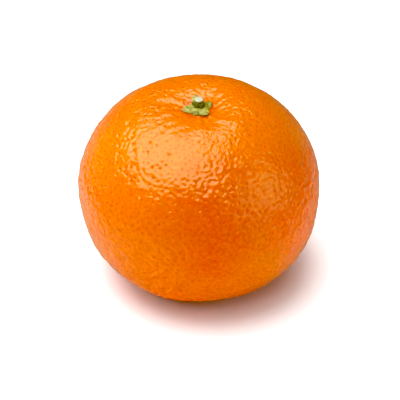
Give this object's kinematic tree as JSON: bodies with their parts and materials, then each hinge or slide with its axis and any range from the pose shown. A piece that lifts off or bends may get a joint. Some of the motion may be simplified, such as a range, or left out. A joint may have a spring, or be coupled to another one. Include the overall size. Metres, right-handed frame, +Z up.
{
  "type": "mandarin",
  "caption": "Whole ripe mandarin, a squat round citrus fruit with pitted peel, resting on its blossom end, with a star-shaped calyx and a short cut stalk on top.",
  "frame": {"origin": "middle of the small flat spot on the blossom end that the fruit rests on", "axes": "+Z up through the stem end, -Y towards the front, +X to the right as seen from the front"},
  "size_m": [0.0619, 0.061, 0.0532],
  "materials": {
    "peel": "waxy, pitted with oil glands",
    "calyx": "fleshy, dull",
    "stalk": "green bark with a pale cut face"
  },
  "bodies": {
    "root": {"fruit": "peel", "calyx": "calyx", "stalk": "stalk"}
  },
  "joints": []
}
